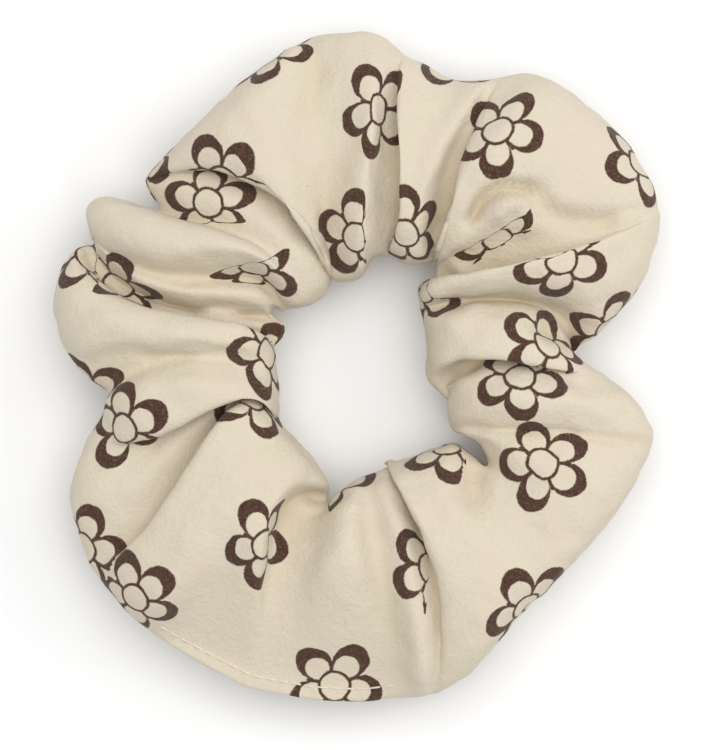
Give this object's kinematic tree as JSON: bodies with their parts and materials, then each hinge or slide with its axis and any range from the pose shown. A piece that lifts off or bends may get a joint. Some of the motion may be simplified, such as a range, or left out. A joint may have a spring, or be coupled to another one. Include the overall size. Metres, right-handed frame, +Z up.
{
  "type": "scrunchie",
  "caption": "Gathered crepe fabric hair scrunchie with a flower print, lying flat, over a woven elastic loop, closed by a topstitched edge.",
  "frame": {"origin": "on the surface the scrunchie lies on, below the middle of its bounding box", "axes": "+Z up through the ring, +Y along its longest extent, with the closing lip at -Y"},
  "size_m": [0.1046, 0.1174, 0.0259],
  "materials": {
    "printed_crepe": "cream crepe weave with a matt dark brown flower print",
    "woven_elastic": "white ribbed woven elastic",
    "sewing_thread": "matt cream polyester thread",
    "elastic_thread": "matt white polyester thread"
  },
  "bodies": {
    "root": {"fabric_cover": "printed_crepe", "elastic_band": "woven_elastic", "long_seam_needle_thread": "sewing_thread", "long_seam_bobbin_thread": "sewing_thread", "end_seam_needle_thread": "sewing_thread", "end_seam_bobbin_thread": "sewing_thread", "closing_seam_needle_thread": "sewing_thread", "closing_seam_bobbin_thread": "sewing_thread", "elastic_join_needle_thread": "elastic_thread", "elastic_join_bobbin_thread": "elastic_thread"}
  },
  "joints": []
}
